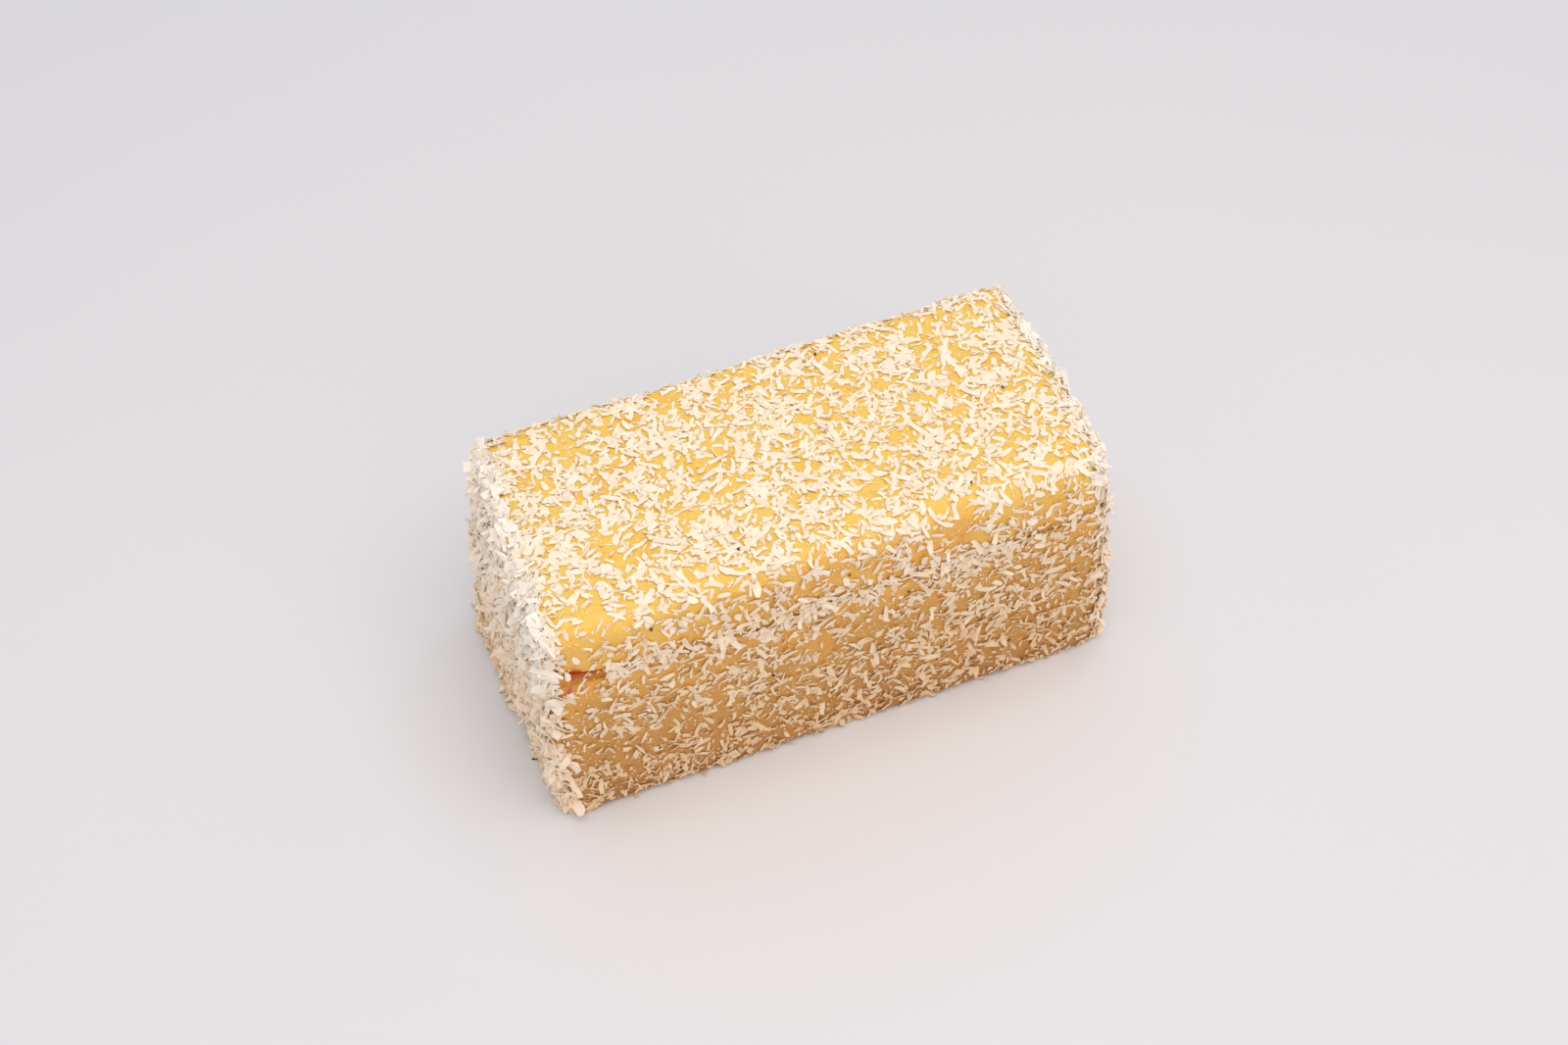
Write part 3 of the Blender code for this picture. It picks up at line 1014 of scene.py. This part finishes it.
class ScatterTree:
    """The geometry node tree that strews bits of coconut over a surface."""

    KINDS = {
        "Bits": "NodeSocketCollection",
        "Finish": "NodeSocketMaterial",
        "Cover": "NodeSocketString",
        "Seed": "NodeSocketInt",
    }
    RANGES = ("Lift", "Tilt", "Size", "Shade")
    NUMBERS = (
        *("Spacing", "Density", "Clump Size", "Clump Gap", "Warp"),
        *(f"{name} {end}" for name in RANGES for end in ("Low", "High")),
    )
    TURNS = {"Spin": (0, 0, 1), "Tilt": (0, 1, 0), "Roll": (1, 0, 0)}
    LAST_VARIANT = 63  # more than any cut has, because a higher index goes round again
    CLUMP_EDGE = (0.43, 0.55)  # noise below the first is a gap, above the second a clump
    CLUMP_DISTORTION = 0.6
    WARP_SIZE = 1.1 * MM
    FLOOR_LEVEL = 0.08 * MM

    def __init__(self) -> None:
        """Builds the tree once, for every scatter."""
        self.tree = bpy.data.node_groups.new("coconut_scatter", "GeometryNodeTree")
        face = self.tree.interface
        face.new_socket("Geometry", in_out="INPUT", socket_type="NodeSocketGeometry")
        kinds = {**self.KINDS, **dict.fromkeys(self.NUMBERS, "NodeSocketFloat")}
        for name, kind in kinds.items():
            face.new_socket(name, in_out="INPUT", socket_type=kind)
        face.new_socket("Geometry", in_out="OUTPUT", socket_type="NodeSocketGeometry")
        self.given = add_node(self.tree, "NodeGroupInput").outputs
        self._finish(self._bits(self._points()))

    def identifier(self, name: str) -> str:
        """The identifier of a named input, which a modifier is set by."""
        return next(s.identifier for s in self.tree.interface.items_tree if s.name == name)

    def _points(self) -> bpy.types.Node:
        """Points on the surface: as thick as its cover says, and in clumps with gaps between.

        Returns:
            The node that makes the points.
        """
        tree, given = self.tree, self.given
        inputs = {0: SPOT, 1: given["Clump Size"]}
        inputs = {
            "Vector": add_node(tree, "GeometryNodeInputPosition"),
            "Scale": add_node(tree, "ShaderNodeMath", inputs, operation="DIVIDE"),
            "Distortion": self.CLUMP_DISTORTION,
        }
        inputs = {
            "Value": add_node(tree, "ShaderNodeTexNoise", inputs),
            "From Min": self.CLUMP_EDGE[0],
            "From Max": self.CLUMP_EDGE[1],
            "To Min": given["Clump Gap"],
        }
        share = add_node(tree, "ShaderNodeMapRange", inputs, interpolation_type="SMOOTHSTEP")
        inputs = {"Name": given["Cover"]}
        cover = add_node(tree, "GeometryNodeInputNamedAttribute", inputs, data_type="FLOAT")
        inputs = {
            "Mesh": given["Geometry"],
            "Distance Min": given["Spacing"],
            "Density Max": given["Density"],
            "Density Factor": add_node(
                tree, "ShaderNodeMath", {0: share, 1: cover}, operation="MULTIPLY"
            ),
            "Seed": given["Seed"],
        }
        kind = "GeometryNodeDistributePointsOnFaces"
        return add_node(tree, kind, inputs, distribute_method="POISSON")

    def _draws(self) -> dict[str, Socket]:
        """Draws what varies from point to point, each thing by a seed of its own.

        Returns:
            The sockets of the random numbers, by what they are for.
        """
        given = self.given
        lift, tilt, size, shade = ((given[f"{n} Low"], given[f"{n} High"]) for n in self.RANGES)
        order = {
            "Lift": lift,
            "Spin": (0.0, math.tau),
            "Tilt": tilt,
            "Roll": tilt,
            "Variant": (0, self.LAST_VARIANT),
            "Size": size,
            "Shade": shade,
        }
        # Of each kind: its lowest and highest input, and its output
        sockets = {"FLOAT": (2, 3, 1), "INT": (4, 5, 2)}
        drawn = {}
        for number, (name, (low, high)) in enumerate(order.items(), start=1):
            inputs = {0: given["Seed"], 1: float(number)}
            seed = add_node(self.tree, "ShaderNodeMath", inputs, operation="ADD")
            kind = "INT" if name == "Variant" else "FLOAT"
            first, second, result = sockets[kind]
            inputs = {first: low, second: high, "Seed": seed}
            node = add_node(self.tree, "FunctionNodeRandomValue", inputs, data_type=kind)
            drawn[name] = node.outputs[result]
        return drawn

    def _bits(self, points: bpy.types.Node) -> bpy.types.Node:
        """A bit of coconut on each point, laid on the surface and turned at random.

        Args:
            points: The node that makes the points.

        Returns:
            The node that ends with the bits as instances.
        """
        tree, given, drawn = self.tree, self.given, self._draws()
        normal = points.outputs["Normal"]
        inputs = {0: normal, "Scale": drawn["Lift"]}
        lift = add_node(tree, "ShaderNodeVectorMath", inputs, operation="SCALE")
        inputs = {"Geometry": points, "Offset": lift}
        lifted = add_node(tree, "GeometryNodeSetPosition", inputs)
        turned = add_node(tree, "FunctionNodeAlignRotationToVector", {"Vector": normal}, axis="Z")
        for name, axis in self.TURNS.items():
            inputs = {"Axis": axis, "Angle": drawn[name]}
            by = add_node(tree, "FunctionNodeAxisAngleToRotation", inputs)
            inputs = {"Rotation": turned, "Rotate By": by}
            turned = add_node(tree, "FunctionNodeRotateRotation", inputs, rotation_space="LOCAL")
        inputs = {"Collection": given["Bits"], "Separate Children": True, "Reset Children": True}
        inputs = {
            "Points": lifted,
            "Instance": add_node(tree, "GeometryNodeCollectionInfo", inputs),
            "Pick Instance": True,
            "Instance Index": drawn["Variant"],
            "Rotation": turned,
            "Scale": drawn["Size"],
        }
        instances = add_node(tree, "GeometryNodeInstanceOnPoints", inputs)
        inputs = {"Geometry": instances, "Name": SHADE, "Value": drawn["Shade"]}
        kind = "GeometryNodeStoreNamedAttribute"
        return add_node(tree, kind, inputs, data_type="FLOAT", domain="INSTANCE")

    def _finish(self, bits: bpy.types.Node) -> None:
        """Makes the bits real, warps each a little, keeps them off the floor, and dresses them.

        Args:
            bits: The node that ends with the bits as instances.
        """
        tree, given = self.tree, self.given
        real = add_node(tree, "GeometryNodeRealizeInstances", {"Geometry": bits})
        place = add_node(tree, "GeometryNodeInputPosition")
        inputs = {"Vector": place, "Scale": SPOT / self.WARP_SIZE, "Detail": 1.0}
        waves = add_node(tree, "ShaderNodeTexNoise", inputs).outputs["Color"]
        inputs = {0: waves, 1: (0.5, 0.5, 0.5)}
        centred = add_node(tree, "ShaderNodeVectorMath", inputs, operation="SUBTRACT")
        inputs = {0: centred, "Scale": given["Warp"]}
        push = add_node(tree, "ShaderNodeVectorMath", inputs, operation="SCALE")
        warped = add_node(tree, "GeometryNodeSetPosition", {"Geometry": real, "Offset": push})
        inputs = {0: place, 1: (-1.0, -1.0, self.FLOOR_LEVEL)}
        lowest = add_node(tree, "ShaderNodeVectorMath", inputs, operation="MAXIMUM")
        clear = add_node(tree, "GeometryNodeSetPosition", {"Geometry": warped, "Position": lowest})
        inputs = {"Geometry": clear, "Material": given["Finish"]}
        dressed = add_node(tree, "GeometryNodeSetMaterial", inputs)
        add_node(tree, "NodeGroupOutput", {"Geometry": dressed})


@dataclass(frozen=True)
class Strewing:
    """How one kind of coconut bit is strewn over one part of the slice."""

    name: str
    cut: CoconutCut
    cover: Callable[[Vector, Vector], float]
    per_mm2: float
    spacing: float
    lift: tuple[float, float]
    tilt: float
    seed: int
    size: tuple[float, float] = (0.8, 1.2)
    shade: tuple[float, float] = (0.0, 0.4)
    clump_size: float = 1.5 * MM
    clump_gap: float = 0.3
    warp: float = 0.12 * MM


@dataclass
class CoconutCoat:
    """The coat of grated coconut: single shreds on the top and sides, a thick pelt on the ends.

    Each facing says from which slope a face counts a little, and from which it counts wholly.
    Each cover is the least, and what is added where it is thickest. The underside is what lies
    below a height and faces down more than a slope.
    """

    form: SliceForm
    cell: float = 1.6 * MM
    seam_band: float = 2.6 * MM
    base_band: float = 4.0 * MM
    drift: float = 0.7
    drift_size: float = 9.0 * MM
    facing: tuple[float, float] = (0.35, 0.7)
    end_facing: tuple[float, float] = (0.35, 0.65)
    fuzz_facing: tuple[float, float] = (-0.1, 0.2)
    speck_facing: tuple[float, float] = (0.9, 0.97)
    top_edge: tuple[float, float] = (0.8, 1.0)
    top_cover: tuple[float, float] = (0.72, 0.28)
    side_cover: tuple[float, float] = (0.7, 0.3)
    chip_cover: tuple[float, float] = (0.55, 0.9)
    crumb_cover: tuple[float, float] = (0.35, 0.65)
    underside: tuple[float, float] = (0.2 * MM, -0.5)
    bare_patches: tuple[BarePatch, ...] = field(
        default_factory=lambda: (
            BarePatch(mm(-45.0, -24.0, 16.0), 5.5 * MM, 0.8),
            BarePatch(mm(-47.0, -24.0, 27.0), 3.6 * MM, 0.75),
            BarePatch(mm(-49.0, -24.0, 35.0), 3.2 * MM, 0.7),
            BarePatch(mm(-44.0, -24.0, 35.0), 3.6 * MM, 0.75),
            BarePatch(mm(-38.5, -24.0, 34.5), 2.6 * MM, 0.4),
            BarePatch(mm(-41.0, -24.0, 43.0), 6.0 * MM, 0.6),
            BarePatch(mm(-22.0, -24.0, 42.0), 5.0 * MM, 0.55),
            BarePatch(mm(47.0, -24.0, 36.0), 4.0 * MM, 0.5),
            BarePatch(mm(-41.0, -20.5, 46.5), 4.5 * MM, 0.7),
        )
    )

    def build(self) -> list[bpy.types.Object]:
        """Strews every kind of bit.

        Returns:
            One piece for each kind and place.
        """
        tree = ScatterTree()
        skin = self._skin()
        flesh = CoconutFlesh().make()
        dry_flesh = CoconutFlesh("dry_grated_coconut", dry="#FFF7EA", wet_and_shaded="#FDE8CB").make()
        speck = CoconutSkin().make()
        made = []
        collections: dict[str, bpy.types.Collection] = {}
        for strewing in self._strewings():
            cut = strewing.cut
            if cut.name not in collections:
                collections[cut.name] = cut.collection()
            finish = {"skin_specks": speck, "tufts": dry_flesh}.get(cut.name, flesh)
            made.append(self._strew(strewing, skin, tree, collections[cut.name], finish))
        bpy.data.objects.remove(skin)
        for collection in collections.values():
            for obj in list(collection.objects):
                bpy.data.objects.remove(obj)
            bpy.data.collections.remove(collection)
        return made

    def _skin(self) -> bpy.types.Object:
        """The whole outside of the slice, over the seam too, as what the coconut lies on.

        Returns:
            The skin, open on its underside.
        """
        form = self.form
        rims = (form.top_rim_radius, form.base_rim_radius)
        bm = form.block(0.0, form.height, self.cell, rims)
        for v in bm.verts:
            v.co = form.settle(v.co)
        bm.normal_update()
        normals = [v.normal.copy() for v in bm.verts]
        for v, normal in zip(bm.verts, normals):
            v.co += form.clumps(v.co, normal)
        height, slope = self.underside
        low = [f for f in bm.faces if f.calc_center_median().z < height]
        under = [f for f in low if f.normal.z < slope]
        bmesh.ops.delete(bm, geom=under, context="FACES")
        bmesh.ops.triangulate(bm, faces=bm.faces)
        return object_from_bmesh("coat_skin", bm)

    def _strew(
        self,
        strewing: Strewing,
        skin: bpy.types.Object,
        tree: ScatterTree,
        bits: bpy.types.Collection,
        finish: bpy.types.Material,
    ) -> bpy.types.Object:
        """Strews one kind of bit over one part of the slice.

        Args:
            strewing: What is strewn, and how.
            skin: The surface that it lies on.
            tree: The scatter tree.
            bits: The variants to draw from.
            finish: Their material.

        Returns:
            The finished piece.
        """
        obj = bpy.data.objects.new(strewing.name, skin.data.copy())
        bpy.context.scene.collection.objects.link(obj)
        store(obj, COVER, (strewing.cover(v.co, v.normal) for v in obj.data.vertices))
        modifier = obj.modifiers.new("strew", "NODES")
        modifier.node_group = tree.tree
        tilt = math.radians(strewing.tilt)
        ranges = (strewing.lift, (-tilt, tilt), strewing.size, strewing.shade)
        values = {
            "Bits": bits,
            "Finish": finish,
            "Spacing": strewing.spacing,
            "Density": strewing.per_mm2 / MM**2,
            "Clump Size": strewing.clump_size,
            "Clump Gap": strewing.clump_gap,
            "Warp": strewing.warp,
            "Cover": COVER,
            "Seed": strewing.seed,
        }
        for name, (low, high) in zip(tree.RANGES, ranges):
            values |= {f"{name} Low": low, f"{name} High": high}
        for name, value in values.items():
            modifier[tree.identifier(name)] = value
        apply_modifiers(obj)
        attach(obj, "root")
        return obj

    def _cover_top(self, point: Vector, normal: Vector) -> float:
        """Cover of the top, thicker towards its two ends.

        Args:
            point: A point of the settled slice.
            normal: The way that the surface faces there.

        Returns:
            The cover, as a share of the density.
        """
        end = ease(*self.top_edge, abs(point.x) / (self.form.length / 2))
        least, more = self.top_cover
        return ease(*self.facing, normal.z) * (least + more * end) * self._patches(point)

    def _cover_sides(self, point: Vector, normal: Vector) -> float:
        """Cover of the two long sides, thicker over the seam.

        Args:
            point: A point of the settled slice.
            normal: The way that the surface faces there.

        Returns:
            The cover, as a share of the density.
        """
        side = ease(*self.facing, abs(normal.y))
        seam = bell(point.z - self.form.seam_height(point.x, point.y), self.seam_band)
        least, more = self.side_cover
        return side * min(1.0, least + more * seam) * self._patches(point)

    def _cover_seam(self, point: Vector, normal: Vector) -> float:
        """Cover of the seam on the long sides, but for where the jam shows.

        Args:
            point: A point of the settled slice.
            normal: The way that the surface faces there.

        Returns:
            The cover, as a share of the density.
        """
        side = ease(*self.facing, abs(normal.y))
        seam = bell(point.z - self.form.seam_height(point.x, point.y), self.seam_band / 2)
        return side * seam * self._patches(point) ** 2

    def _cover_chips(self, point: Vector, normal: Vector) -> float:
        """Cover by the broad chips, many of which have slid to the foot of the sides."""
        least, more = self.chip_cover
        return (least + more * bell(point.z, self.base_band)) * self._patches(point)

    def _cover_end(self, normal: Vector) -> float:
        """Cover of the cut ends, which reaches a little way round their rims."""
        return ease(*self.end_facing, abs(normal.x))

    def _cover_crumbs(self, point: Vector, normal: Vector) -> float:
        """Cover by the finest crumbs, which lie nearly everywhere."""
        least, more = self.crumb_cover
        return least + more * self._patches(point)

    def _patches(self, point: Vector) -> float:
        """What the bare patches leave of the cover at a point, thinner and thicker by turns.

        Args:
            point: A point of the settled slice.

        Returns:
            The share that is left, 1 on the whole.
        """
        left = 1.0 + self.drift * noise.noise(point / self.drift_size)
        for patch in self.bare_patches:
            left *= patch.left(point)
        return left

    def _strewings(self) -> list[Strewing]:
        """Every kind of bit and where it lies.

        Returns:
            The strewings, in the order that they are made.
        """
        shreds = CoconutCut(
            "shreds", CutShape.SHRED, mm(0.8, 3.8), mm(0.32, 0.85), mm(0.06, 0.12),
            variants=20, seed=3,
        )
        chips = CoconutCut(
            "chips", CutShape.CHIP, mm(1.0, 2.6), mm(0.5, 1.15), mm(0.06, 0.12),
            variants=14, seed=4,
        )
        tufts = CoconutCut(
            "tufts", CutShape.SHRED, mm(1.4, 4.0), mm(0.5, 1.15), mm(0.1, 0.2),
            variants=16, seed=8,
        )
        crumbs = CoconutCut(
            "crumbs", CutShape.CHIP, mm(0.35, 1.0), mm(0.25, 0.6), mm(0.06, 0.12),
            variants=10, seed=5, corners=(4, 5),
        )
        specks = CoconutCut(
            "skin_specks", CutShape.GRAIN, mm(0.45, 0.8), mm(0.3, 0.5), mm(0.15, 0.3),
            variants=3, seed=6, joints=1,
        )
        return [
            Strewing(
                "coconut_shreds_top", shreds, self._cover_top,
                per_mm2=1.4, spacing=0.36 * MM, lift=mm(0.0, 0.16), tilt=12.0, seed=11,
            ),
            Strewing(
                "coconut_shreds_front", shreds, lambda p, n: self._cover_sides(p, n) * (n.y < 0),
                per_mm2=0.8, spacing=0.42 * MM, lift=mm(0.02, 0.3), tilt=26.0, seed=12,
            ),
            Strewing(
                "coconut_shreds_back", shreds, lambda p, n: self._cover_sides(p, n) * (n.y > 0),
                per_mm2=0.8, spacing=0.42 * MM, lift=mm(0.02, 0.3), tilt=26.0, seed=17,
            ),
            Strewing(
                "coconut_shreds_seam", shreds, self._cover_seam,
                per_mm2=1.3, spacing=0.4 * MM, lift=mm(0.02, 0.3), tilt=20.0, seed=19,
                clump_gap=0.8,
            ),
            Strewing(
                "coconut_fuzz", shreds, lambda p, n: ease(*self.fuzz_facing, n.z) * self._patches(p),
                per_mm2=0.22, spacing=0.9 * MM, lift=mm(0.1, 0.5), tilt=50.0, seed=20,
                size=(0.55, 0.85), shade=(0.0, 0.3), clump_gap=0.6,
            ),
            Strewing(
                "coconut_pelt_low_end", tufts, lambda p, n: self._cover_end(n) * (n.x < 0),
                per_mm2=2.3, spacing=0.34 * MM, lift=mm(-0.1, 0.6), tilt=38.0, seed=13,
                size=(1.05, 1.5), shade=(0.0, 0.3), clump_gap=0.85, warp=0.25 * MM,
            ),
            Strewing(
                "coconut_pelt_high_end", tufts, lambda p, n: self._cover_end(n) * (n.x > 0),
                per_mm2=2.6, spacing=0.33 * MM, lift=mm(-0.05, 0.5), tilt=28.0, seed=18,
                size=(0.95, 1.3), shade=(0.0, 0.3), clump_gap=0.85, warp=0.25 * MM,
            ),
            Strewing(
                "coconut_chips", chips, self._cover_chips,
                per_mm2=0.5, spacing=0.7 * MM, lift=mm(0.02, 0.28), tilt=16.0, seed=14,
                shade=(0.0, 0.35),
            ),
            Strewing(
                "coconut_crumbs", crumbs, self._cover_crumbs,
                per_mm2=1.0, spacing=0.38 * MM, lift=mm(-0.03, 0.1), tilt=10.0, seed=15,
                shade=(0.2, 1.0), clump_gap=0.5,
            ),
            Strewing(
                "coconut_skin_specks", specks, lambda p, n: ease(*self.speck_facing, max(n.z, -n.y)),
                per_mm2=0.0016, spacing=3.0 * MM, lift=mm(0.2, 0.4), tilt=15.0, seed=16,
                clump_gap=1.0,
            ),
        ]


@dataclass
class Studio:
    """A pale table top under one broad soft light, and the camera."""

    floor_half: float = 1.6
    sky_tone: str = "#F8F8FF"
    sky_strength: float = 0.67
    lamp_tone: str = "#FFFAF2"
    lamp_size: float = 0.55
    lamp_power: float = 1.95
    lamp_place: tuple[float, float, float] = (0.02, -0.14, 0.62)
    glow_tone: str = "#FFB070"
    glow_strength: float = 0.38
    glow_from: tuple[float, float, float] = (0.12, -1.0, 0.22)
    glow_spread: float = 70.0
    lens: float = 57.8
    sensor_width: float = 36.0
    clip: tuple[float, float] = (0.01, 10.0)
    camera_place: tuple[float, float, float] = (-0.1109, -0.2632, 0.3528)
    camera_pitch: float = 48.62
    camera_yaw: float = 22.81
    camera_roll: float = 0.215

    def build(self) -> None:
        """Builds the floor, the light and the camera."""
        self._floor()
        self._light()
        self._camera()

    def _floor(self) -> None:
        """A plain table top."""
        bm = bmesh.new()
        bmesh.ops.create_grid(bm, x_segments=4, y_segments=4, size=self.floor_half)
        floor = object_from_bmesh("floor", bm)
        floor.data.materials.append(PaintedTable().make())

    def _light(self) -> None:
        """The room's even light, a broad lamp overhead and a faint warm glow from the front."""
        scene = bpy.context.scene
        scene.world = bpy.data.worlds.new("room")
        scene.world.use_nodes = True
        sky = scene.world.node_tree.nodes["Background"]
        sky.inputs["Color"].default_value = linear_colour(self.sky_tone)
        sky.inputs["Strength"].default_value = self.sky_strength
        lamp = bpy.data.lights.new("soft_box", "AREA")
        lamp.shape = "SQUARE"
        lamp.size = self.lamp_size
        lamp.energy = self.lamp_power
        self._hang(lamp, self.lamp_tone, self.lamp_place)
        glow = bpy.data.lights.new("warm_glow", "SUN")
        glow.angle = math.radians(self.glow_spread)
        glow.energy = self.glow_strength
        self._hang(glow, self.glow_tone, self.glow_from)
        scene.view_settings.view_transform = "Standard"
        scene.view_settings.look = "None"

    @staticmethod
    def _hang(lamp: bpy.types.Light, tone: str, place: tuple[float, float, float]) -> None:
        """Hangs a lamp so that it faces the slice.

        Args:
            lamp: The lamp.
            tone: Its colour.
            place: Where it hangs.
        """
        lamp.color = linear_colour(tone)[:3]
        holder = bpy.data.objects.new(lamp.name, lamp)
        holder.location = place
        holder.rotation_mode = "QUATERNION"
        holder.rotation_quaternion = Vector(place).to_track_quat("Z", "Y")
        bpy.context.scene.collection.objects.link(holder)

    def _camera(self) -> None:
        """The camera, turned by its yaw, pitch and roll."""
        camera = bpy.data.cameras.new("camera")
        camera.lens = self.lens
        camera.sensor_width = self.sensor_width
        camera.clip_start, camera.clip_end = self.clip
        holder = bpy.data.objects.new("camera", camera)
        turn = Matrix.Rotation(math.radians(-self.camera_yaw), 4, "Z")
        turn = turn @ Matrix.Rotation(math.radians(90 - self.camera_pitch), 4, "X")
        turn = turn @ Matrix.Rotation(math.radians(self.camera_roll), 4, "Z")
        holder.matrix_world = Matrix.Translation(self.camera_place) @ turn
        bpy.context.scene.collection.objects.link(holder)
        bpy.context.scene.camera = holder


def main() -> None:
    """Builds the studio and every piece of the slice, and reports each piece."""
    logging.basicConfig(level=logging.INFO, format="%(name)s: %(message)s")
    Studio().build()
    form = SliceForm()
    noise.seed_set(form.wave_seed)
    for maker in (SpongeLayers(form), JamBed(form), CoconutCoat(form)):
        for piece in maker.build():
            LOG.info("%s has %d triangles", piece.name, triangle_count(piece))


if __name__ == "__main__":
    main()
